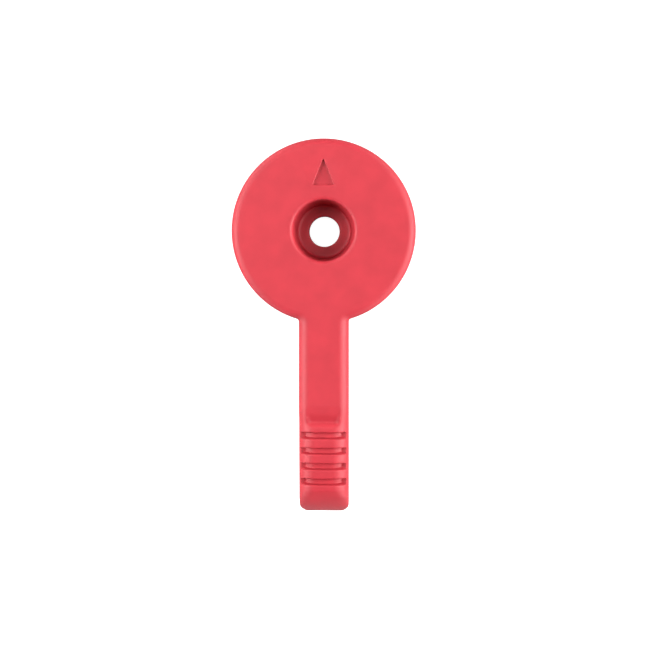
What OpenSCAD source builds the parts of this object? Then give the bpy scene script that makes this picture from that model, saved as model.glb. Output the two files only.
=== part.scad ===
// Lever handle for a shaft: a round head, a narrow arm and a ribbed thumb grip,
// moulded in one piece, with a metal drive insert pressed in from behind.
// Z is the axis of the head and Z = 0 its back face. The arm points to -Y and
// the sunk pointer to +Y. All sizes are in millimetres.

/* [Head] */
// Diameter of the round head
head_d = 33; // [31:0.5:42]
// Thickness of the head, from its back face to its front face
head_t = 14; // [13.5:0.5:18]
// Radius round the head's front edge
head_edge_r = 1.5; // [0.5:0.1:2]
// Wall round the hollow back of the head
rim_wall = 2; // [1.2:0.1:3]
// Thickness of the front wall over the hollows
face_wall = 2.4; // [1.6:0.1:3]
// Radius round the edges at the back
back_edge_r = 0.5; // [0.2:0.1:0.8]

/* [Screw seat] */
// Diameter of the hole for the clamping screw
screw_hole_d = 5.5; // [4.5:0.1:6.4]
// Diameter of the screw's head
screw_head_d = 8.5; // [7:0.1:9.5]
// Gap all round the screw's head on the floor of its seat
screw_head_gap = 0.2; // [0.1:0.05:0.5]
// Depth of the seat below the front face
seat_depth = 6.3; // [5:0.1:7]
// Widening of the seat from its floor to its mouth, on each side
seat_flare = 0.95; // [0.3:0.05:1.2]
// Radius of the lip round the seat's mouth
seat_lip_r = 0.8; // [0.3:0.1:1]
// Plastic left between the floor of the seat and the insert
seat_web = 2.2; // [1.5:0.1:3]

/* [Drive insert] */
// Width of the hexagonal insert across its flats
insert_af = 13; // [12:0.5:15]
// Chamfer on the insert's corners
insert_chamfer = 0.4; // [0.2:0.1:0.6]
// Diameter of the shaft that the lever fits
shaft_d = 8; // [7:0.5:9]
// Width of the keyway beside the shaft
key_w = 2; // [1.5:0.1:3]
// Depth of the keyway beyond the bore
key_depth = 1; // [0.6:0.1:1.2]
// Gap all round the shaft
shaft_gap = 0.03; // [0.01:0.01:0.1]
// Thickness of the shoulder that the shaft's end meets
shoulder_t = 1.2; // [0.8:0.1:2]
// Room for the screw in that shoulder, beyond the hole in the plastic
shoulder_room = 0.5; // [0.3:0.1:0.8]
// Plastic round the corners of the insert
hub_wall = 2; // [1.2:0.1:2.5]

/* [Pointer] */
// Width of the triangular pointer at its base
pointer_w = 3.9; // [2.5:0.1:5]
// Distance from the pointer's base to the head's edge
pointer_base_inset = 8.4; // [7.5:0.1:8.6]
// Distance from the pointer's tip to the head's edge
pointer_tip_inset = 3.6; // [2.5:0.1:5]
// Depth of the pointer below the face
pointer_depth = 0.5; // [0.2:0.05:0.8]

/* [Arm] */
// Width of the arm
arm_w = 8.9; // [8:0.1:11]
// Thickness of the arm, measured back from the front face
arm_t = 8; // [7.5:0.5:9]
// Distance from the head's axis to the tip of the arm
reach = 51; // [50:0.1:60]
// Radius along the arm's front edges
arm_edge_r = 1.86; // [1:0.02:2.2]
// Wall at the sides of the arm's hollows
arm_wall = 1.8; // [1.2:0.1:2.2]
// Radius of the inner corners where the arm meets the head
junction_r = 0.6; // [0.3:0.1:1.5]
// Radius of the tip's corners, seen from the front
tip_corner_r = 1.5; // [0.8:0.1:2]

/* [Thumb scoop] */
// Length of the scoop between the flat arm and the first rib
scoop_l = 3.6; // [3:0.1:5]
// Depth of the scoop at its lowest line
scoop_depth = 0.75; // [0.3:0.05:0.9]
// Length of the slope that climbs from that line to the first rib
scoop_rise = 0.6; // [0.4:0.1:1.4]
// Width of the scoop at the arm's face
scoop_w = 6; // [5:0.1:7]
// Radius along the scoop's sides
scoop_side_r = 1.5; // [1:0.1:2.5]

/* [Grip] */
// Distance from the start of the first rib to the tip
grip_l = 16.2; // [15.6:0.1:17.5]
// Radius of the grip's lengthwise curve
crest_r = 80; // [70:1:120]
// Radius along the grip's front edges
grip_edge_r = 2.9; // [2.4:0.1:3.2]
// Number of grooves between the ribs
groove_count = 4; // [2:1:4]
// Distance from one groove to the next
groove_pitch = 2.78; // [2.4:0.02:2.9]
// Width of a groove
groove_w = 1.2; // [0.8:0.05:1.5]
// Depth of a groove in the middle of the grip
groove_depth = 1; // [0.5:0.1:1.2]
// Depth of a groove at its ends, below the crest of the ribs
groove_end_depth = 1.8; // [1.4:0.05:2.2]
// Plastic that closes each end of a groove
groove_end_wall = 0.45; // [0.35:0.05:0.8]
// Width of the level middle of a groove's floor
groove_flat_w = 3; // [2:0.1:4]
// Radius of the curve from there down to the groove's ends
groove_floor_r = 3; // [2:0.1:4]
// Width of the first rib, before the first groove
first_rib_w = 1.3; // [1.1:0.05:1.8]
// Length of the rounded nose, measured along the arm
nose_l = 4.3; // [3.8:0.1:5.2]
// Slope of the nose where it leaves the last rib, in degrees below the arm's face
nose_slope = 36; // [32:1:42]

/* [Stiffening ribs] */
// Number of ribs behind the head
head_rib_count = 6; // [4:2:8]
// Thickness of every stiffening rib
stiff_t = 1.4; // [1:0.1:1.8]
// Distance from the head's back face to its ribs
head_rib_setback = 1; // [0.5:0.1:2]
// Number of hollows in the straight part of the arm
arm_hollows = 2; // [1:1:3]
// Number of hollows in the grip
grip_hollows = 2; // [1:1:2]
// Plastic between the grooves and the hollows behind them
grip_floor = 2; // [1.5:0.1:2.5]
// Solid plastic left in the tip, beyond the last hollow
tip_wall = 3.5; // [2:0.1:4]
// Radius in the corners of the arm's hollows
hollow_corner_r = 0.8; // [0.4:0.1:1]

/* [Hidden] */
$fn = 96;

plastic = [0.86, 0.08, 0.12];
metal = [0.78, 0.62, 0.30];

steps = 8;         // straight pieces in each rounded edge
over = 1;          // how far a cutter runs past the surface it opens

head_r = head_d / 2;
arm_half = arm_w / 2;
arm_back = head_t - arm_t;
hollow_top = head_t - face_wall;

seat_floor = head_t - seat_depth;
seat_r = screw_head_d / 2 + screw_head_gap;
mouth_r = seat_r + seat_flare;

insert_l = seat_floor - seat_web;
insert_corner_r = insert_af / 2 / cos(30);
hub_r = insert_corner_r + hub_wall;
bore_r = shaft_d / 2 + shaft_gap;

grip_start = reach - grip_l;
nose_start = reach - nose_l;
crest_drop = crest_r - sqrt(crest_r * crest_r - pow(nose_start - grip_start, 2));
// The nose starts on the crest at its own slope and ends on the tip's back edge
nose_h = arm_t - crest_drop;
nose_r = (nose_l * nose_l + nose_h * nose_h) / (2 * (nose_h * cos(nose_slope) - nose_l * sin(nose_slope)));
nose_centre = [nose_start - nose_r * sin(nose_slope), head_t - crest_drop - nose_r * cos(nose_slope)];
sweep = asin(grip_l / crest_r) + 2;

// Points on an arc about a centre, from one angle to another
function arc(centre, r, from, to) =
    [for (i = [0:steps]) let (a = from + (to - from) * i / steps) centre + r * [cos(a), sin(a)]];

// Half outline of a bar's cross-section: square at its foot, round at its shoulder
function half_section(half, foot, top, r) =
    concat([[half, foot]], arc([half - r, top - r], r, 0, 90));

// Whole cross-section, made by mirroring that half
function section(half, foot, top, r) =
    let (right = half_section(half, foot, top, r), n = len(right) - 1)
    concat(right, [for (i = [n:-1:0]) [-right[i][0], right[i][1]]]);

// Turns an outline given as [distance along the arm, height] into a cutter across the arm
module across_arm() {
    rotate([90, 0, -90]) translate([0, 0, -head_r]) linear_extrude(head_d) children();
}

// The head as one turned blank, with its front and back edges rounded
module head_blank() {
    rotate_extrude() polygon(concat(
        [[0, 0]],
        arc([head_r - back_edge_r, back_edge_r], back_edge_r, -90, 0),
        arc([head_r - head_edge_r, head_t - head_edge_r], head_edge_r, 0, 90),
        [[0, head_t]]));
}

// The straight bar between the head's rim and the grip
module arm_bar() {
    start = head_r - rim_wall;
    rotate([90, 0, 0]) translate([0, 0, start]) linear_extrude(grip_start - start)
        polygon(section(arm_half, arm_back, head_t, arm_edge_r));
}

// A cross-section swept along the grip's lengthwise curve; depths are below the crest
module grip_sweep(half, top_depth, foot_depth, r, from = 0, to = sweep) {
    outline = section(half, crest_r - foot_depth, crest_r - top_depth, r);
    translate([0, -grip_start, head_t - crest_r]) rotate([0, 90, 0])
        rotate_extrude(angle = to - from, start = 180 + from, $fn = 360)
            polygon([for (p = outline) [p[1], p[0]]]);
}

// Bounds the rounded nose: all that lies before it, and a wheel with the nose's curve and rounded sides
module nose_bound() {
    translate([-head_r, -nose_start, -head_t]) cube([head_d, nose_start + head_d, 3 * head_t]);
    translate([0, -nose_centre[0], nose_centre[1]]) rotate([0, 90, 0]) rotate_extrude($fn = 180)
        polygon([for (p = section(arm_half, 0, nose_r, tip_corner_r)) [p[1], p[0]]]);
}

// Slots that stop short of the grip's sides, over a floor that is level in the middle and falls to both ends
module grooves() {
    difference() {
        for (i = [0:groove_count - 1]) {
            from = first_rib_w + i * groove_pitch;
            to = from + groove_w;
            grip_sweep(arm_half - groove_end_wall, -over, groove_end_depth, over / 2,
                asin(from / crest_r), asin(to / crest_r));
        }
        grip_sweep(groove_flat_w / 2 + groove_floor_r, groove_depth, groove_depth + groove_floor_r + over,
            groove_floor_r);
    }
}

module grip() {
    difference() {
        grip_sweep(arm_half, 0, arm_t + crest_drop + over, grip_edge_r);
        grooves();
    }
}

// Small webs that fill the inner corners between the head and the arm
module junction_corners() {
    cx = arm_half + junction_r;
    cy = sqrt(pow(head_r + junction_r, 2) - cx * cx);
    turn = atan2(cy, cx);
    for (side = [-1, 1]) scale([side, 1, 1]) translate([0, 0, arm_back])
        linear_extrude(arm_t - arm_edge_r) polygon(concat(
            arc([cx, -cy], junction_r, 180, 180 - turn),
            [[arm_half - junction_r, junction_r - cy]]));
}

// Removes what lies in front of the scoop's long slope and its short rise
module scoop_cut() {
    flat_end = grip_start - scoop_l;
    low = grip_start - scoop_rise;
    run = low - flat_end;
    r = (run * run + scoop_depth * scoop_depth) / (2 * scoop_depth);
    slope = asin(run / r);
    intersection() {
        across_arm() polygon(concat(
            arc([flat_end, head_t - r], r, 90, 90 - slope),
            [[grip_start, head_t], [grip_start, head_t + over], [flat_end, head_t + over]]));
        scoop_trough();
    }
}

// A bar over the scoop whose sides curve down to the scoop's lowest line
module scoop_trough() {
    r = scoop_side_r;
    turn = acos(1 - scoop_depth / r);
    floor_half = scoop_w / 2 - r * sin(turn);
    centre_z = head_t - scoop_depth + r;
    rotate([90, 0, 0]) linear_extrude(reach) polygon(concat(
        arc([-floor_half, centre_z], r, 270 - turn, 270),
        arc([floor_half, centre_z], r, 270, 270 + turn),
        [[scoop_w / 2, head_t + over], [-scoop_w / 2, head_t + over]]));
}

// Keeps the arm inside its outline as seen from the front
module arm_outline() {
    r = tip_corner_r;
    translate([0, 0, arm_back]) linear_extrude(arm_t + over) polygon(concat(
        [[-arm_half, 0]],
        arc([r - arm_half, r - reach], r, 180, 270),
        arc([arm_half - r, r - reach], r, 270, 360),
        [[arm_half, 0]]));
}

module arm_blank() {
    intersection() {
        difference() {
            union() { arm_bar(); grip(); }
            scoop_cut();
        }
        nose_bound();
        arm_outline();
    }
}

// The ring of hollows behind the head, split by its stiffening ribs
module head_hollows() {
    hollow_r = head_r - rim_wall;
    difference() {
        translate([0, 0, -over]) cylinder(r = hollow_r, h = hollow_top + over);
        translate([0, 0, -2 * over]) cylinder(r = hub_r, h = head_t);
        for (i = [0:head_rib_count - 1])
            rotate(90 + i * 360 / head_rib_count)
                translate([0, -stiff_t / 2, head_rib_setback]) cube([head_r, stiff_t, head_t]);
    }
}

// A row of equal hollows along the arm, with a stiffening rib between each two
module hollow_row(from, to, count, top) {
    half = arm_half - arm_wall;
    l = (to - from - (count - 1) * stiff_t) / count;
    r = hollow_corner_r;
    for (i = [0:count - 1])
        translate([0, -from - i * (l + stiff_t), arm_back - over])
            linear_extrude(top - arm_back + over) polygon(concat(
                arc([half - r, -r], r, 0, 90),
                arc([r - half, -r], r, 90, 180),
                arc([r - half, r - l], r, 180, 270),
                arc([half - r, r - l], r, 270, 360)));
}

module arm_hollow_rows() {
    last = reach - tip_wall;
    nose_z = nose_centre[1] + sqrt(nose_r * nose_r - pow(last - nose_centre[0], 2));
    grip_top = min(head_t - crest_drop - groove_depth, nose_z) - grip_floor;
    hollow_row(head_r + stiff_t / 2, grip_start - stiff_t, arm_hollows, hollow_top);
    hollow_row(grip_start, last, grip_hollows, grip_top);
}

// Flared seat for the screw's head, with a rounded lip, and the hole below it
module screw_seat() {
    lip_r = seat_lip_r;
    rotate_extrude() polygon(concat(
        [[0, seat_floor], [seat_r, seat_floor]],
        arc([mouth_r + lip_r, head_t - lip_r], lip_r, 180, 90),
        [[mouth_r + lip_r, head_t + over], [0, head_t + over]]));
    translate([0, 0, seat_floor - seat_web - over]) cylinder(d = screw_hole_d, h = seat_web + 2 * over);
}

module pointer_cut() {
    base = head_r - pointer_base_inset;
    tip = head_r - pointer_tip_inset;
    translate([0, 0, head_t - pointer_depth]) linear_extrude(pointer_depth + over)
        polygon([[-pointer_w / 2, base], [pointer_w / 2, base], [0, tip]]);
}

// Hexagonal bar of the insert's width, standing on the back face
module insert_bar(below = 0) {
    translate([0, 0, -below]) rotate(30) cylinder(r = insert_corner_r, h = insert_l + below, $fn = 6);
}

module lever_body() {
    color(plastic) difference() {
        union() { head_blank(); arm_blank(); junction_corners(); }
        head_hollows();
        arm_hollow_rows();
        screw_seat();
        pointer_cut();
        insert_bar(over);
    }
}

module hub_insert() {
    c = insert_chamfer;
    color(metal) difference() {
        intersection() {
            insert_bar();
            rotate_extrude() polygon([
                [0, 0], [insert_corner_r - c, 0], [insert_corner_r, c],
                [insert_corner_r, insert_l - c], [insert_corner_r - c, insert_l], [0, insert_l]]);
        }
        // the bore for the shaft, and its keyway on the pointer's side
        translate([0, 0, -over]) cylinder(r = bore_r, h = insert_l - shoulder_t + over);
        translate([-key_w / 2, 0, -over]) cube([key_w, bore_r + key_depth, insert_l - shoulder_t + over]);
        translate([0, 0, -over]) cylinder(d = screw_hole_d + shoulder_room, h = head_t);
    }
}

lever_body();
hub_insert();
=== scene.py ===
import math

import bmesh
import bpy
import numpy as np
from mathutils import Matrix, Vector


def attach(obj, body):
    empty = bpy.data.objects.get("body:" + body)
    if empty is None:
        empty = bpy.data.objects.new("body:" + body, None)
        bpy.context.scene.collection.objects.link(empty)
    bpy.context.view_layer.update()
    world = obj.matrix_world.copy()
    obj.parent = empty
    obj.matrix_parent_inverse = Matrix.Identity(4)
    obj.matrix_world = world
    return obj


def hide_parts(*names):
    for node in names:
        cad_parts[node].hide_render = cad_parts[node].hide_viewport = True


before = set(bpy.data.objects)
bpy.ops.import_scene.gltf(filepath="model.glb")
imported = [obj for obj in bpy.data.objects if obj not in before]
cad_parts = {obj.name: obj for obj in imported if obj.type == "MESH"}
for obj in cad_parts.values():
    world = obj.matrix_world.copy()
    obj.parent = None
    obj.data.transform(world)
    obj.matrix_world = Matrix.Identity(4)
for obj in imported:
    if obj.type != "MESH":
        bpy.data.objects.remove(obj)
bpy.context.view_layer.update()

mm = 0.001


def sinOf(degrees):
    return np.sin(np.radians(degrees))


def cosOf(degrees):
    return np.cos(np.radians(degrees))


def mix(a, b, t):
    return a + (b - a) * t


def ease(t):  # 3t^2 - 2t^3: from 0 to 1, level at both ends
    t = np.clip(t, 0.0, 1.0)
    return t * t * (3.0 - 2.0 * t)


# the lower of two heights, less blend h^2 / 4, where h falls from 1 to 0 as their difference grows to blend
def softMin(a, b, blend):
    blend = np.maximum(blend, 1e-6)
    h = np.maximum(blend - np.abs(a - b), 0.0) / blend
    return np.minimum(a, b) - h * h * blend / 4


def softMax(a, b, blend):
    return -softMin(-a, -b, blend)


def between(first, last, steps):  # the stations strictly between two values
    return np.linspace(first, last, steps + 1)[1:-1]


# a sheet is a grid of points, shape (rows, columns, 3), in millimetres, and a window leaves out a block of
# its faces
def faceted(points, windows=()):
    rows, columns = points.shape[:2]
    index = np.arange(rows * columns).reshape(rows, columns)
    keep = np.ones((rows - 1, columns - 1), bool)
    for firstRow, lastRow, firstColumn, lastColumn in windows:
        keep[firstRow:lastRow, firstColumn:lastColumn] = False
    quads = np.stack([index[:-1, :-1], index[:-1, 1:], index[1:, 1:], index[1:, :-1]], -1)[keep]
    return points.reshape(-1, 3), quads


# a patch between four edges: the two ruled surfaces added, less the bilinear one of the corners
def spanned(top, bottom, left, right):
    s = np.linspace(0, 1, len(left))[:, None, None]
    t = np.linspace(0, 1, len(top))[None, :, None]
    ruled = mix(top[None], bottom[None], s) + mix(left[:, None], right[:, None], t)
    return ruled - mix(mix(top[0], top[-1], t), mix(bottom[0], bottom[-1], t), s)


# the points round a window of a sheet, once round from its corner (rows[0], columns[0]), first along that row
def windowEdge(points, rows, columns):
    r = np.linspace(rows[0], rows[1], abs(rows[1] - rows[0]) + 1).round().astype(int)
    c = np.linspace(columns[0], columns[1], abs(columns[1] - columns[0]) + 1).round().astype(int)
    return np.concatenate([
        points[r[0], c[:-1]], points[r[:-1], c[-1]],
        points[r[-1], c[:0:-1]], points[r[:0:-1], c[0]],
    ])


# a rounded polygon and its outward normals, counterclockwise from the middle of the first corner: arcs with
# straight runs between, each arc's centre set in from its corner by r (n1 + n2) / (1 + n1 . n2), where n1 and
# n2 are the normals of the two edges
def roundedOutline(corners, radius, cornerSteps, edgeSteps):
    corners = np.asarray(corners, float)
    along = np.roll(corners, -1, 0) - corners
    along /= np.linalg.norm(along, axis=1, keepdims=True)
    out = np.stack([along[:, 1], -along[:, 0]], 1)
    arcs, arcNormals = [], []
    for i, corner in enumerate(corners):
        before, after = out[i - 1], out[i]
        centre = corner - radius * (before + after) / (1 + before @ after)
        start = math.degrees(math.atan2(before[1], before[0]))
        turn = (math.degrees(math.atan2(after[1], after[0])) - start) % 360
        a = start + turn * np.linspace(0, 1, cornerSteps + 1)
        arcNormals.append(np.stack([cosOf(a), sinOf(a)], 1))
        arcs.append(centre + radius * arcNormals[-1])
    points, normals = [], []
    for i, steps in enumerate(edgeSteps):
        run = between(0, 1, steps)[:, None]
        points += [arcs[i], mix(arcs[i][-1], arcs[(i + 1) % len(arcs)][0], run)]
        normals += [arcNormals[i], np.repeat(out[i][None], len(run), 0)]
    half = cornerSteps // 2
    return np.roll(np.concatenate(points), -half, 0), np.roll(np.concatenate(normals), -half, 0)


# a recess: the profile, given as (distance outside the outline, height), is carried round the outline, from
# the edge of its window in to a floor that closes on the middle
def recess(edge, outline, normals, profile):
    rings = [edge]
    for outside, height in profile:
        ring = outline + outside * normals
        rings.append(np.column_stack([ring, np.full(len(ring), height)]))
    middle = rings[-1].mean(0)
    floorShares = (0.55, 0.2, 0.0)
    rings += [mix(middle, rings[-1], share) for share in floorShares]
    grid = np.array(rings)
    return np.concatenate([grid, grid[:, :1]], 1)


# joins sheets along the edges that they share and turns every face outwards
def solidFrom(name, sheets, sharpAbove):
    joinWithin, dropUnder = 0.001 * mm, 0.0001 * mm
    start, points, quads = 0, [], []
    for sheetPoints, sheetQuads in sheets:
        points.append(sheetPoints * mm)
        quads.append(sheetQuads + start)
        start += len(sheetPoints)
    points, quads = np.concatenate(points), np.concatenate(quads)
    mesh = bpy.data.meshes.new(name)
    mesh.vertices.add(len(points))
    mesh.vertices.foreach_set("co", points.astype(np.float32).ravel())
    mesh.loops.add(quads.size)
    mesh.loops.foreach_set("vertex_index", quads.astype(np.int32).ravel())
    mesh.polygons.add(len(quads))
    mesh.polygons.foreach_set("loop_start", np.arange(0, quads.size, 4, dtype=np.int32))
    mesh.update(calc_edges=True)
    bm = bmesh.new()
    bm.from_mesh(mesh)
    bmesh.ops.remove_doubles(bm, verts=bm.verts, dist=joinWithin)
    bmesh.ops.dissolve_degenerate(bm, edges=bm.edges, dist=dropUnder)
    bmesh.ops.recalc_face_normals(bm, faces=bm.faces)
    openEdges = sum(1 for e in bm.edges if len(e.link_faces) != 2)
    bm.to_mesh(mesh)
    bm.free()
    mesh.shade_smooth()
    mesh.set_sharp_from_angle(angle=math.radians(sharpAbove))
    mesh.update()
    made = bpy.data.objects.new(name, mesh)
    bpy.context.scene.collection.objects.link(made)
    print(f"{name}: {len(mesh.polygons)} faces, {openEdges} open edges")
    return made


# the lever body, in millimetres
head = dict(
    radius=16.5, thickness=14.0, edge=1.5, backEdge=0.5,
    rimInside=14.5, rimDraft=0.12, hubOutside=9.5, ceiling=11.6,
    rootFillet=0.6, mouthEdge=0.25, sideHeights=(2.3, 4.1),
    faceRadii=(15.0, 13.6, 12.4, 11.2, 10.0, 8.8, 7.6, 6.9, 6.2),
)
seat = dict(
    floor=7.7, floorRadius=4.85, fillet=0.65, filletOut=0.04, mouthRadius=5.5, lip=0.7,
    web=2.2, holeRadius=2.75, holeEdge=0.2, holeBack=((0, 0.15), (0.044, 0.044), (0.15, 0)),
)
# the hole's back edge and the pocket's mouth are given as (distance outside the wall, height)
pocket = dict(acrossFlats=13.04, depth=5.5, mouth=((0, 0.3), (0.05, 0.12), (0.15, 0.03), (0.3, 0)))
# the pointer's upper edge is given as (distance outside the outline, depth) in shares of edge, its foot as
# (distance outside the outline, height above its floor)
pointer = dict(
    base=8.1, tip=12.9, width=3.9, depth=0.5, corner=0.16, cornerSteps=4, sideSteps=(22, 14, 14),
    edge=0.12, over=((1, 0), (0.5, 0.13), (0.13, 0.5), (0, 1)),
    foot=((-0.02, 0.08), (-0.045, 0.024), (-0.1, 0)),
    firstRow=1, lastRow=6, halfColumns=13,
)
arm = dict(
    half=4.45, back=6.0, edge=1.86, fillet=0.6, backEdge=0.3, tip=51.0, tipCorner=1.5, tipWall=3.5,
    gripStart=34.8, gripEdge=2.9, edgeBefore=3.2, edgeLength=3.4, crestRadius=80.0,
    tipFace=0.42, tipBlend=0.3,
)
nose = dict(length=4.3, slope=36.0, blend=0.1, edge=2.4, edgeLength=1.2, edgeShare=0.9, edgeFade=0.45)
scoop = dict(
    start=31.2, low=34.2, rise=0.76, depth=0.75, half=3.05, sideRadius=1.5,
    lowBlend=0.12, wallBlend=0.35, brimBlend=0.22, climbFrom=1.5, climbTo=2.5, fallUpTo=0.99,
)
grooves = dict(
    first=36.1, pitch=2.78, width=1.2, depth=0.9, count=4, smile=0.17,
    rim=4.06, rimColumns=4, endLean=0.6, endDepth=1.65, flat=1.3, floorRadius=2.8,
)
hollows = dict(
    half=2.65, corner=0.8, cornerSteps=4, mouth=0.25, fillet=0.5, draft=0.08,
    first=17.2, web=1.4, armTop=11.6, gripTop=10.1, clear=0.03,
)

# columns: the head has 240 all round, counted from the pointer; the arm joins between the 106th and the 134th
columnsRound, armFrom, armTo = 240, 106, 134
neckFrom, neckTo = 112, 128
sideShares, edgeSteps = np.array([0, 0.3, 0.6, 0.8, 0.85, 0.9, 0.95, 1.0]), 12
faceRow = len(sideShares) - 1 + edgeSteps
quarter = (0, 30, 60, 90)
outOfReach = 99.0
edgeAngles = np.linspace(0, 90, edgeSteps + 1)

# the centre of the fillet between head and arm: at the sum of the two radii from the axis. Its angle from the
# arm's middle line is armTurn
filletX = arm["half"] + arm["fillet"]
filletY = -math.sqrt((head["radius"] + arm["fillet"]) ** 2 - filletX ** 2)
armTurn = math.degrees(math.atan2(filletX, -filletY))
armFlat = arm["half"] - arm["edge"]
front = head["thickness"]

# across half a stiffening rib and its root: (distance from its middle plane, height)
ribCount = 6
ribSide = np.array([
    (0, 1.0), (0.45, 1.0), (0.575, 1.033), (0.667, 1.125), (0.70, 1.25),
    (0.85, 11.0), (0.93, 11.3), (1.15, 11.52), (1.45, 11.6),
])


# angle of each head column at radius r: a rib's columns keep their distance d from its middle plane, so they
# turn by asin(d / r) from it, and the columns between two ribs share out the angle that is left
def ribColumns(r):
    bay, bayColumns, last = 360 // ribCount, columnsRound // ribCount, len(ribSide) - 1
    j = np.arange(columnsRound)
    k, near = j % bayColumns, 90 + bay * (j // bayColumns)
    step = np.minimum(np.minimum(k, bayColumns - k), last)
    turn = np.degrees(np.arcsin(ribSide[step, 0] / r))
    reach = np.degrees(np.arcsin(ribSide[last, 0] / r))
    angle = np.where(2 * k <= bayColumns, near + turn, near + bay - turn)
    clear = (k > last) & (k < bayColumns - last)
    share = (bay - 2 * reach) * (k - last) / (bayColumns - 2 * last)
    return np.where(clear, near + reach + share, angle), ribSide[step, 1]


# angles of the head's columns at the seat's lip: spread where the arm's flat columns arrive
def lipColumns():
    j, lipRadius = np.arange(columnsRound + neckFrom + 1), head["faceRadii"][-1]
    edge = math.degrees(math.asin(armFlat / lipRadius))
    knots = [0, armFrom, neckFrom, neckTo, armTo]
    knots += [columnsRound, columnsRound + armFrom, columnsRound + neckFrom]
    angle = np.interp(j, knots, [90, 240, 270 - edge, 270 + edge, 300, 450, 600, 630 - edge])
    x = np.linspace(-armFlat, armFlat, neckTo - neckFrom + 1)
    angle[neckFrom:neckTo + 1] = 270 + np.degrees(np.arcsin(x / lipRadius))
    return angle


# the same at its rim: the columns from armFrom to armTo share the angle between the arm's two fillets
def rimColumns():
    j = np.arange(columnsRound + neckFrom + 1)
    knots = [0, armFrom, armTo, columnsRound + armFrom, columnsRound + neckFrom]
    return np.interp(j, knots, [90, 270 - armTurn, 270 + armTurn, 630 - armTurn, 630 - armTurn])


def turned(radius, height, angle):  # points of a turned surface: (r cos a, r sin a, z)
    radius, height, angle = np.broadcast_arrays(radius, height, angle)
    return np.stack([radius * cosOf(angle), radius * sinOf(angle), height], -1)


# the inside, back and lower side of the head: one profile carried round the axis, from the seat's lip through
# the hole, the hexagonal pocket and the ring of hollows to the rim, up to the level of the arm's back. A
# rounded edge of radius r lies at r (1 - sin a) one way and r (1 - cos a) the other.
def headShell():
    lip, rim = lipColumns()[:columnsRound], rimColumns()[:columnsRound]
    inner, ribHeight = ribColumns(head["hubOutside"])
    rows = []

    def add(radius, height, angle):
        rows.append(turned(radius, height, angle))

    mouthZ = front - seat["lip"]
    for a in np.linspace(0, 90, 9):
        add(seat["mouthRadius"] + seat["lip"] * (1 - sinOf(a)), mouthZ + seat["lip"] * cosOf(a), lip)
    for share in (0.25, 0.5, 0.75, 0.94):
        add(mix(seat["mouthRadius"], seat["floorRadius"], share), mix(mouthZ, seat["floor"], share), lip)
    # the seat's floor, and the hole in it
    fillet, hole, holeEdge = seat["fillet"], seat["holeRadius"], seat["holeEdge"]
    foot = seat["floorRadius"] + seat["filletOut"] - fillet
    for a in (80, 64, 48, 32, 16, 0):
        add(foot + fillet * sinOf(a), seat["floor"] + fillet * (1 - cosOf(a)), lip)
    for share in (0.33, 0.67, 1.0):
        add(mix(foot, hole + holeEdge, share), seat["floor"], mix(lip, inner, share))
    for a in quarter[1:]:
        add(hole + holeEdge * (1 - sinOf(a)), seat["floor"] - holeEdge * (1 - cosOf(a)), inner)
    webBack = seat["floor"] - seat["web"]
    for outward, above in seat["holeBack"]:
        add(hole + outward, webBack + above, inner)
    # the pocket: its radius is half its width over the cosine of the angle from the nearest flat's middle
    flats = (inner + 30) % 60 - 30
    hexagon = pocket["acrossFlats"] / 2 / cosOf(flats)
    add(mix(hole + seat["holeBack"][-1][0], hexagon, 0.5), webBack, inner)
    add(hexagon, pocket["depth"], inner)
    for outward, height in pocket["mouth"]:
        add(hexagon + outward, height, inner)
    hub, edge = head["hubOutside"], head["mouthEdge"]
    add(mix(hexagon + pocket["mouth"][-1][0], hub - edge, 0.5), 0, inner)
    for a in quarter:
        add(hub - edge * (1 - sinOf(a)), edge * (1 - cosOf(a)), inner)
    # the ring of hollows, with its height held down to the ribs'
    fillet, top, draft, outside = head["rootFillet"], head["ceiling"], head["rimDraft"], head["rimInside"]
    root = [(fillet * (1 - cosOf(a)), top - fillet * (1 - sinOf(a))) for a in quarter]
    ring = [(hub + draft + inset, height) for inset, height in root]
    ring += [(r, top) for r in between(hub + draft + fillet, outside - draft - fillet, 3)]
    ring += [(outside - draft - inset, height) for inset, height in root[::-1]]
    for radius, height in ring:
        add(radius, np.minimum(height, ribHeight), ribColumns(radius)[0])
    # the rim and the lower side
    outer = ribColumns(outside)[0]
    for a in quarter[::-1]:
        add(outside + edge * (1 - sinOf(a)), edge * (1 - cosOf(a)), outer)
    for a in np.linspace(0, 90, 6):
        add(head["radius"] - head["backEdge"] * (1 - sinOf(a)), head["backEdge"] * (1 - cosOf(a)), rim)
    for height in (*head["sideHeights"], arm["back"]):
        add(head["radius"], height, rim)
    grid = np.array(rows)
    return np.concatenate([grid, grid[:, :1]], 1)


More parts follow.
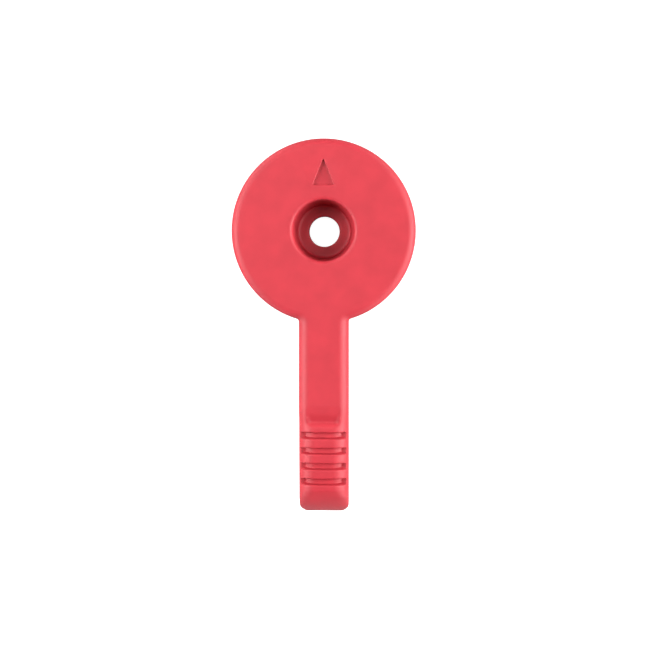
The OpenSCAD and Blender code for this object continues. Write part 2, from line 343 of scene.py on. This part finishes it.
# the front of the head: each column has an outline point and a direction into the body; its side rises, its
# edge rounds over by e (1 - cos a) inwards and e sin a upwards, and its face runs in to the seat's lip
def headFront():
    j = np.arange(neckTo, columnsRound + neckFrom + 1)
    rim, lip = rimColumns()[j], lipColumns()[j]
    x, y = head["radius"] * cosOf(rim), head["radius"] * sinOf(rim)
    inX, inY = -cosOf(rim), -sinOf(rim)
    share = np.clip(np.maximum(armTo - j, j - columnsRound - armFrom) / (armTo - neckTo), 0, 1)
    side = np.where(j <= armTo, 1, -1)
    atFillet = share > 0
    # on the right-hand side, the direction from the fillet's centre
    turn = 90 + armTurn + (90 - armTurn) * share
    inX = np.where(atFillet, side * cosOf(turn), inX)
    inY = np.where(atFillet, sinOf(turn), inY)
    x = np.where(atFillet, side * filletX + arm["fillet"] * inX, x)
    y = np.where(atFillet, filletY + arm["fillet"] * inY, y)
    edge = mix(head["edge"], arm["edge"], share)
    foot = arm["back"] + arm["backEdge"] * share
    rows = [np.stack([x, y, mix(foot, front - edge, s)], -1) for s in sideShares]
    for a in edgeAngles[1:]:
        inset = edge * (1 - cosOf(a))
        rows.append(np.stack([x + inset * inX, y + inset * inY, front - edge * (1 - sinOf(a))], -1))
    flatX, flatY = rows[-1][:, 0], rows[-1][:, 1]
    flatRadius, flatAngle = np.hypot(flatX, flatY), np.degrees(np.arctan2(flatY, flatX)) % 360
    flatAngle += np.where(j > armTo, 360 * (flatAngle < rim - 180), 0)
    radii = np.array(head["faceRadii"])
    for inward in (radii[0] - radii[1:]) / (radii[0] - radii[-1]):
        rows.append(turned(mix(flatRadius, radii[-1], inward), front, mix(flatAngle, lip, inward)))
    backRows = []
    for a in quarter:
        inset = arm["backEdge"] * share * (1 - cosOf(a))
        height = arm["back"] + arm["backEdge"] * share * (1 - sinOf(a))
        backRows.append(np.stack([x + inset * inX, y + inset * inY, height], -1))
    return np.array(rows), np.array(backRows)


# across a groove's two walls: (distance from the wall, depth into the groove as a share)
nearWall = (
    (-0.20, 0), (-0.12, 0.018), (-0.05, 0.075), (-0.005, 0.17), (0.0, 0.25),
    (0.015, 0.80), (0.03, 0.90), (0.08, 0.975), (0.16, 1.0),
)
farWall = (
    (-0.36, 1.0), (-0.27, 0.975), (-0.215, 0.90), (-0.19, 0.80), (-0.05, 0.22),
    (-0.02, 0.12), (0.04, 0.04), (0.12, 0.0),
)
noseStart = arm["tip"] - nose["length"]
noseStations = (-0.6, -0.35, -0.2, -0.1, -0.03, 0.03, 0.1, 0.2, 0.35, 0.6)
armSteps = dict(straight=38, beforeScoop=0.3, scoop=38, floor=4, land=6, nose=11, tip=14)


# stations along the arm: (distance from the axis, depth into a groove, how far across the groove)
def armStations():
    straight = np.linspace(-filletY, scoop["start"] - armSteps["beforeScoop"], armSteps["straight"])
    rows = [(s, 0, 0) for s in straight]
    rows += [(s, 0, 0) for s in between(straight[-1], grooves["first"] + nearWall[0][0], armSteps["scoop"])]
    for i in range(grooves["count"]):
        near = grooves["first"] + i * grooves["pitch"]
        far = near + grooves["width"]
        floorStations = between(near + nearWall[-1][0], far + farWall[0][0], armSteps["floor"])
        rows += [(near + s, d, 0) for s, d in nearWall]
        rows += [(s, 1, t) for s, t in zip(floorStations, between(0, 1, armSteps["floor"]))]
        rows += [(far + s, d, 1) for s, d in farWall]
        if i < grooves["count"] - 1:
            landEnd = near + grooves["pitch"] + nearWall[0][0]
            rows += [(s, 0, 0) for s in between(far + farWall[-1][0], landEnd, armSteps["land"])]
    cornerStart = arm["tip"] - arm["tipCorner"]
    rows += [(noseStart + s, 0, 0) for s in noseStations]
    rows += [(s, 0, 0) for s in between(noseStart + noseStations[-1], cornerStart, armSteps["nose"])]
    rows += [(cornerStart + arm["tipCorner"] * sinOf(a), 0, 0) for a in np.linspace(0, 90, armSteps["tip"])]
    return np.array(rows, float)


# half the arm's width, less by r - sqrt(r^2 - distance^2) in the tip's rounded corners
def armWidth(s):
    corner = arm["tipCorner"]
    inCorner = np.clip(corner - (arm["tip"] - s), 0, corner)
    return arm["half"] - corner + np.sqrt(corner ** 2 - inCorner ** 2)


# the middle line of the front: level, then in the grip lower by r - sqrt(r^2 - distance^2)
def crestHeight(s):
    r = arm["crestRadius"]
    return front - r + np.sqrt(r ** 2 - np.maximum(s - arm["gripStart"], 0) ** 2)


# how far the nose lies below the crest: an arc that leaves the crest at a slope and ends at the tip's back
# edge. For a nose of length l and height h its radius is (l^2 + h^2) / (2 (h cos slope - l sin slope)).
def noseDrop(s, crest):
    length, slopeSin, slopeCos = nose["length"], sinOf(nose["slope"]), cosOf(nose["slope"])
    top = crestHeight(noseStart)
    height = top - arm["back"]
    r = (length ** 2 + height ** 2) / (2 * (height * slopeCos - length * slopeSin))
    centreS, centreZ = noseStart - r * slopeSin, top - r * slopeCos
    arc = centreZ + np.sqrt(np.maximum(r ** 2 - np.maximum(s - centreS, 0) ** 2, 0))
    return crest - softMin(crest, np.where(s > noseStart - 1, arc, crest + 1), nose["blend"])


# the scoop's heights, and the width of the blend at its brim: a trough that falls by a circle and climbs a
# straight slope, between side walls that rise by r - sqrt(r^2 - aside^2)
def scoopCut(s, x):
    depth, r, low = scoop["depth"], scoop["sideRadius"], scoop["low"]
    fallRadius = ((low - scoop["start"]) ** 2 + depth ** 2) / (2 * depth)
    into = np.clip(s - scoop["start"], 0, fallRadius * scoop["fallUpTo"])
    fall = front - fallRadius + np.sqrt(fallRadius ** 2 - into ** 2)
    climb = front - depth + (s - low) * scoop["rise"]
    trough = softMax(fall, np.where(s > low - scoop["climbFrom"], climb, -outOfReach), scoop["lowBlend"])
    trough = np.where(s > low + scoop["climbTo"], outOfReach, trough)
    floorHalf = scoop["half"] - r * math.sin(math.acos(1 - depth / r))
    aside = np.clip(np.abs(x) - floorHalf, 0, r)
    wall = front - depth + r - np.sqrt(r ** 2 - aside ** 2)
    return softMax(trough, wall, scoop["wallBlend"] * ease(into)), scoop["brimBlend"] * ease(into)


# a groove's section in the front's columns: it keeps the outer ones as its rim, then drops to a floor with
# rounded ends, x = flat + r sin t and a fall of r (1 - cos t). The lean is each column's share of that fall.
def grooveSection(crest, topX, section, c):
    rim, flat, r = grooves["rimColumns"], grooves["flat"], grooves["floorRadius"]
    fall = grooves["endDepth"] - grooves["depth"]
    t = np.linspace(math.degrees(math.acos(1 - fall / r)), 0, edgeSteps - rim - 1)[None]
    slotX = np.insert(flat + r * sinOf(t), 0, grooves["rim"] - grooves["endLean"], 1)
    slotFall = np.insert(r * (1 - cosOf(t)), 0, fall, 1)
    floorX = np.concatenate([slotX, flat * c, -slotX[:, ::-1]], 1) * np.ones_like(crest)
    floorZ = crest - grooves["depth"] - np.concatenate([slotFall, 0 * c, slotFall[:, ::-1]], 1)
    grooveX = np.concatenate([topX[:, :rim], floorX, topX[:, -rim:]], 1)
    grooveZ = np.concatenate([section[:, :rim], floorZ, section[:, -rim:]], 1)
    still, deeper = np.zeros(len(sideShares) + rim), slotFall[0] / fall
    lean = np.concatenate([still, deeper, 0 * c[0], deeper[::-1], still])
    return grooveX, grooveZ, lean


# the height of the arm's back, which turns up at the tip by r - sqrt(r^2 - distance^2), and what that leaves
# of the rounded edge's radius
def backLine(s):
    r = arm["backEdge"]
    inEdge = np.clip(r - (arm["tip"] - s), 0, r)
    back = arm["back"] + r - np.sqrt(r ** 2 - inEdge ** 2)
    return back, r - (back - arm["back"])


# the arm's front and sides: a cross-section of (x, height) carried along the arm. Its edges are quarter
# circles, x = flat + r sin t and height = top - r (1 - cos t), wider in the grip than in the arm.
def armFront(s, depth, across):
    half, width, crest = arm["half"], armWidth(s), crestHeight(s)
    widened = (s - arm["gripStart"] + arm["edgeBefore"]) / arm["edgeLength"]
    edge = mix(arm["edge"], arm["gripEdge"], ease(widened))
    t = 90 - edgeAngles[None, 1:]
    c = np.linspace(1, -1, neckTo - neckFrom + 1)[None, 1:-1]
    sideX = half * np.ones((len(s), len(sideShares)))
    edgeX, edgeDrop = half - edge + edge * sinOf(t), edge * (1 - cosOf(t))
    topX = np.concatenate([edgeX, (half - edge) * c, -edgeX[:, ::-1]], 1)
    topDrop = np.concatenate([edgeDrop, 0 * c * np.ones_like(s), edgeDrop[:, ::-1]], 1)

    cut, brim = scoopCut(s, topX * width / half)
    section = softMin(crest - topDrop, cut, brim)
    grooveX, grooveZ, lean = grooveSection(crest, topX, section, c)
    topX, topZ = mix(topX, grooveX, depth), mix(section, grooveZ, depth)

    # in the nose the section's drop is added to the arc's, and changes over to a share of r - sqrt(r^2 - d^2)
    r, down, fallen = nose["edge"], np.clip(s - noseStart, 0, nose["length"]), noseDrop(s, crest)
    over = np.minimum(down / nose["edgeLength"], 1)
    share = nose["edgeShare"] - nose["edgeFade"] * down / nose["length"]
    aside = np.clip(np.abs(topX) - half + r, 0, r)
    lowest = arm["back"] + arm["tipFace"]
    drop = fallen + (1 - over) * (crest - topZ) + over * share * (r - np.sqrt(r ** 2 - aside ** 2))
    topZ = softMax(crest - drop, lowest, arm["tipBlend"])
    sideTop = softMax(crest - fallen - (1 - over) * edge - over * share * r, lowest, arm["tipBlend"])

    back, backEdge = backLine(s)
    foot = back + backEdge
    sideZ = foot + (sideTop - foot) * sideShares[None]
    x = np.concatenate([sideX, topX, -sideX], 1)[:, ::-1] * width / half
    z = np.concatenate([sideZ, topZ, sideZ[:, ::-1]], 1)[:, ::-1]
    # a groove's far wall leans, so its deeper ends lie nearer the head
    y = -(s - grooves["smile"] * depth * across * lean)
    return np.stack([x, y, z], -1)


# columns across the arm's back: those in the rounded edge on each side, and the flat's between them, with
# the hollows' windows in the middle
backTurns, backKnots, backShares = quarter[:3], (0, 4, 24, 28), (-1, -0.732, 0.732, 1)
edgeColumns = len(backTurns)
windowFrom, windowTo = edgeColumns + backKnots[1], edgeColumns + backKnots[2]


def armBack(s):
    half, lean = arm["half"], armWidth(s) / arm["half"]
    back, edge = backLine(s)
    share = np.interp(np.arange(backKnots[-1] + 1), backKnots, backShares)[None]
    edgeOut = [half - edge * (1 - cosOf(a)) for a in backTurns]
    edgeUp = [back + edge * (1 - sinOf(a)) for a in backTurns]
    x = np.concatenate([-e for e in edgeOut] + [(half - edge) * share] + edgeOut[::-1], 1) * lean
    z = np.concatenate(edgeUp + [back + 0 * share] + edgeUp[::-1], 1)
    return np.stack([x, -s + 0 * x, z], -1)


# the face of the head round the sunk pointer, and the pointer
def pointerSheets(upper):
    middle = columnsRound - neckTo
    rows = faceRow + pointer["firstRow"], faceRow + pointer["lastRow"]
    columns = middle - pointer["halfColumns"], middle + pointer["halfColumns"]
    base, wide = pointer["base"], pointer["width"] / 2
    corners = [(-wide, base), (wide, base), (0, pointer["tip"])]
    steps = pointer["cornerSteps"], pointer["sideSteps"]
    outline, normals = roundedOutline(corners, pointer["corner"], *steps)
    e, floor = pointer["edge"], front - pointer["depth"]
    profile = [(e * outside, front - e * below) for outside, below in pointer["over"]]
    profile += [(outside, floor + above) for outside, above in pointer["foot"]]
    edge = windowEdge(upper, rows[::-1], columns[::-1])
    return [faceted(upper, [rows + columns]), faceted(recess(edge, outline, normals, profile))]


# the back of the arm round its hollows, and the hollows: two in the straight arm and two in the grip
def backSheets(s, back):
    first, web, grip, last = hollows["first"], hollows["web"], arm["gripStart"], arm["tip"] - arm["tipWall"]
    armTop, gripTop = hollows["armTop"], hollows["gripTop"]
    armLength, gripLength = (grip - first - 2 * web) / 2, (last - grip - web) / 2
    spans = [
        (first, first + armLength, armTop), (grip - web - armLength, grip - web, armTop),
        (grip, grip + gripLength, gripTop), (last - gripLength, last, gripTop),
    ]
    half, cornerSteps, mouth, fillet = (hollows[key] for key in ("half", "cornerSteps", "mouth", "fillet"))
    sheets, windows = [], []
    for near, far, top in spans:
        firstRow = np.searchsorted(s, near - mouth - hollows["clear"]) - 1
        lastRow = np.searchsorted(s, far + mouth + hollows["clear"])
        windows.append((firstRow, lastRow, windowFrom, windowTo))
        edge = windowEdge(back, (lastRow, firstRow), (windowFrom, windowTo))
        corners = [(-half, -far), (half, -far), (half, -near), (-half, -near)]
        steps = (windowTo - windowFrom - cornerSteps, lastRow - firstRow - cornerSteps) * 2
        outline, normals = roundedOutline(corners, hollows["corner"], cornerSteps, steps)
        profile = [(mouth * (1 - sinOf(a)), arm["back"] + mouth * (1 - cosOf(a))) for a in quarter]
        for a in quarter:
            profile.append((-hollows["draft"] - fillet * (1 - cosOf(a)), top - fillet * (1 - sinOf(a))))
        sheets.append(faceted(recess(edge, outline, normals, profile)))
    return sheets + [faceted(back, windows)]


def leverSheets():
    stations = armStations()
    s, depth, across = (stations[:, i, None] for i in range(3))
    shell, (upper, filletBack) = headShell(), headFront()
    outer, back = armFront(s, depth, across), armBack(s)
    sheets = [faceted(shell)] + pointerSheets(upper)

    # the neck between the seat and the straight arm
    lipEdge = shell[0, neckFrom:neckTo + 1]
    flatEdge = outer[0, faceRow:faceRow + neckTo - neckFrom + 1]
    sheets.append(faceted(spanned(lipEdge, flatEdge, upper[faceRow:, -1][::-1], upper[faceRow:, 0][::-1])))

    # the fillets' back edges, and the flat between them and the rim
    n = armTo - neckTo
    right, left = filletBack[:, :n + 1], filletBack[:, -n - 1:]
    sheets += [faceted(right), faceted(left)]
    rimEdge, backEdge = shell[-1, armFrom:armTo + 1], back[0, edgeColumns:-edgeColumns]
    sheets.append(faceted(spanned(rimEdge, backEdge, left[-1], right[-1][::-1])))

    # the arm, and the thin face at its very tip
    sheets.append(faceted(outer))
    sheets += backSheets(s[:, 0], back)
    tipEdge = np.concatenate([outer[-1], back[-1, ::-1][1:]])
    tipMiddle = np.repeat(tipEdge.mean(0)[None], len(tipEdge), 0)
    sheets.append(faceted(np.array([tipEdge, tipMiddle])))
    return sheets


sharpAbove = 38
leverBody = solidFrom("leverBody", leverSheets(), sharpAbove)
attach(leverBody, "root")
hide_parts("lever_body")


def newGroup(name, inputs, outputs):
    group = bpy.data.node_groups.new(name, "ShaderNodeTree")
    for label, kind, value in inputs:
        socket = group.interface.new_socket(name=label, in_out="INPUT", socket_type=kind)
        if value is not None:
            socket.default_value = value
    for label, kind in outputs:
        group.interface.new_socket(name=label, in_out="OUTPUT", socket_type=kind)
    return group, group.nodes.new("NodeGroupInput"), group.nodes.new("NodeGroupOutput")


def mathNode(tree, operation, *values, clamp=False):
    node = tree.nodes.new("ShaderNodeMath")
    node.operation, node.use_clamp = operation, clamp
    for socket, value in zip(node.inputs, values):
        if isinstance(value, bpy.types.NodeSocket):
            tree.links.new(value, socket)
        else:
            socket.default_value = value
    return node.outputs[0]


# uneven surface: large soft patches of colour and roughness, and a fine grain in the height
def unevenGroup():
    group, given, result = newGroup(
        "unevenSurface",
        [("Colour", "NodeSocketColor", (0.5, 0.5, 0.5, 1)), ("Patch Size mm", "NodeSocketFloat", 4.0),
         ("Patch Strength", "NodeSocketFloat", 0.05), ("Grain Size mm", "NodeSocketFloat", 0.2),
         ("Roughness", "NodeSocketFloat", 0.5), ("Roughness Spread", "NodeSocketFloat", 0.05)],
        [("Colour", "NodeSocketColor"), ("Roughness", "NodeSocketFloat"), ("Height", "NodeSocketFloat")])
    nodes, links = group.nodes, group.links
    place = nodes.new("ShaderNodeTexCoord")
    scaled = nodes.new("ShaderNodeMapping")
    scaled.inputs["Scale"].default_value = (1000, 1000, 1000)
    links.new(place.outputs["Object"], scaled.inputs["Vector"])
    patches, grain = nodes.new("ShaderNodeTexNoise"), nodes.new("ShaderNodeTexNoise")
    for noise, size, detail in ((patches, "Patch Size mm", 3.0), (grain, "Grain Size mm", 2.0)):
        links.new(scaled.outputs[0], noise.inputs["Vector"])
        links.new(mathNode(group, "DIVIDE", 1.0, given.outputs[size]), noise.inputs["Scale"])
        noise.inputs["Detail"].default_value = detail
    centred = mathNode(group, "SUBTRACT", patches.outputs["Fac"], 0.5)
    shade = mathNode(group, "MULTIPLY_ADD", centred, given.outputs["Patch Strength"], 1.0)
    tint = nodes.new("ShaderNodeVectorMath")
    tint.operation = "SCALE"
    links.new(given.outputs["Colour"], tint.inputs[0])
    links.new(shade, tint.inputs["Scale"])
    links.new(tint.outputs[0], result.inputs["Colour"])
    spread, roughness = given.outputs["Roughness Spread"], given.outputs["Roughness"]
    links.new(mathNode(group, "MULTIPLY_ADD", centred, spread, roughness), result.inputs["Roughness"])
    links.new(grain.outputs["Fac"], result.inputs["Height"])
    return group


uneven = unevenGroup()


# a material with that surface: bump is how strongly the grain shows, distance its height in metres
def finish(name, colour, values, bump, distance, **constants):
    material = bpy.data.materials.new(name)
    material.use_nodes = True
    tree = material.node_tree
    shader = tree.nodes["Principled BSDF"]
    effect = tree.nodes.new("ShaderNodeGroup")
    effect.node_tree = uneven
    effect.inputs["Colour"].default_value = (*colour, 1)
    for label, value in values.items():
        effect.inputs[label].default_value = value
    relief = tree.nodes.new("ShaderNodeBump")
    relief.inputs["Strength"].default_value = bump
    relief.inputs["Distance"].default_value = distance
    tree.links.new(effect.outputs["Colour"], shader.inputs["Base Color"])
    tree.links.new(effect.outputs["Roughness"], shader.inputs["Roughness"])
    tree.links.new(effect.outputs["Height"], relief.inputs["Height"])
    tree.links.new(relief.outputs["Normal"], shader.inputs["Normal"])
    for label, value in constants.items():
        shader.inputs[label.replace("_", " ")].default_value = value
    return material


redPlastic = finish(
    "redPlastic", (0.35, 0.0162, 0.0261),
    {"Patch Size mm": 3.0, "Patch Strength": 0.3, "Grain Size mm": 0.16,
     "Roughness": 0.55, "Roughness Spread": 0.08},
    bump=0.25, distance=0.00004, IOR=1.5, Specular_IOR_Level=0.36)
turnedBrass = finish(
    "turnedBrass", (0.78, 0.58, 0.26),
    {"Patch Size mm": 2.0, "Patch Strength": 0.2, "Grain Size mm": 0.08,
     "Roughness": 0.34, "Roughness Spread": 0.2},
    bump=0.15, distance=0.00002, Metallic=1.0)
leverBody.data.materials.append(redPlastic)
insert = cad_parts["hub_insert"]
insert.data.materials.clear()
insert.data.materials.append(turnedBrass)
print("materials set")

# the floor and the world behind it look white to the camera and give the part no light of their own
stage = dict(size=2.0, floorColour=(0.35, 0.35, 0.35, 1), floorRoughness=0.9, floorBelow=0.02)
floorMesh = bpy.data.meshes.new("floor")
h = stage["size"] / 2
floorMesh.from_pydata([(-h, -h, 0), (h, -h, 0), (h, h, 0), (-h, h, 0)], [], [(0, 1, 2, 3)])
floor = bpy.data.objects.new("floor", floorMesh)
floor.location.z = -stage["floorBelow"] * mm
bpy.context.scene.collection.objects.link(floor)
floorMaterial = bpy.data.materials.new("paleFloor")
floorMaterial.use_nodes = True
floorShader = floorMaterial.node_tree.nodes["Principled BSDF"]
floorShader.inputs["Base Color"].default_value = stage["floorColour"]
floorShader.inputs["Roughness"].default_value = stage["floorRoughness"]
floorShader.inputs["Specular IOR Level"].default_value = 0.0
floorSeen = floorMaterial.node_tree.nodes.new("ShaderNodeLightPath").outputs["Is Camera Ray"]
floorMaterial.node_tree.links.new(floorSeen, floorShader.inputs["Emission Color"])
floorShader.inputs["Emission Strength"].default_value = 1.0
floorMesh.materials.append(floorMaterial)

world = bpy.data.worlds.new("studio")
bpy.context.scene.world = world
world.use_nodes = True
worldSeen = world.node_tree.nodes.new("ShaderNodeLightPath").outputs["Is Camera Ray"]
world.node_tree.links.new(worldSeen, world.node_tree.nodes["Background"].inputs["Color"])


# soft boxes on a sphere round the middle of the part: azimuth from +X and elevation in degrees, size in
# millimetres, power in watts
lampAim, lampDistance = Vector((0, -15, 10)), 450
lamps = dict(
    rightLow=dict(azimuth=0, elevation=13, size=(300, 90), power=2.27),
    right=dict(azimuth=0, elevation=26, size=(300, 200), power=0.67),
    rightHigh=dict(azimuth=0, elevation=40, size=(300, 200), power=1.61),
    rightTop=dict(azimuth=0, elevation=60, size=(300, 200), power=0.27),
    left=dict(azimuth=180, elevation=26, size=(300, 200), power=2.52),
    leftHigh=dict(azimuth=180, elevation=40, size=(300, 200), power=1.04),
    behindRight=dict(azimuth=45, elevation=13, size=(300, 90), power=1.07),
    behindLeft=dict(azimuth=135, elevation=4, size=(300, 50), power=1.26),
    behindTop=dict(azimuth=135, elevation=60, size=(300, 200), power=0.86),
    frontLeft=dict(azimuth=225, elevation=4, size=(300, 50), power=0.76),
    frontRight=dict(azimuth=315, elevation=4, size=(300, 50), power=1.17),
)
for name, lamp in lamps.items():
    azimuth, elevation = lamp["azimuth"], lamp["elevation"]
    towards = Vector((cosOf(azimuth) * cosOf(elevation), sinOf(azimuth) * cosOf(elevation), sinOf(elevation)))
    data = bpy.data.lights.new(name, "AREA")
    data.shape, data.size, data.size_y = "RECTANGLE", lamp["size"][0] * mm, lamp["size"][1] * mm
    data.energy = lamp["power"]
    box = bpy.data.objects.new(name, data)
    box.location = (lampAim + lampDistance * towards) * mm
    box.rotation_euler = (-towards).to_track_quat("-Z", "Y").to_euler()
    bpy.context.scene.collection.objects.link(box)

# the picture shows pictureWidth millimetres across at the aim, with world +Y upwards
view = dict(place=(9.2, -10.85, 314.0), aim=(0.3, -16.86, 14.0), pictureWidth=115.9)
camera = bpy.data.objects.new("camera", bpy.data.cameras.new("camera"))
camera.location = Vector(view["place"]) * mm
toAim = Vector(view["aim"]) - Vector(view["place"])
outOfPicture = -toAim.normalized()
acrossPicture = Vector((0, 1, 0)).cross(outOfPicture).normalized()
upPicture = outOfPicture.cross(acrossPicture)
camera.rotation_euler = Matrix((acrossPicture, upPicture, outOfPicture)).transposed().to_euler()
camera.data.sensor_width = 36.0
camera.data.lens = 36.0 * toAim.length / view["pictureWidth"]
camera.data.clip_start, camera.data.clip_end = 0.01, 10.0
bpy.context.scene.collection.objects.link(camera)
bpy.context.scene.camera = camera
bpy.context.scene.view_settings.view_transform = "Standard"
print("stage set")
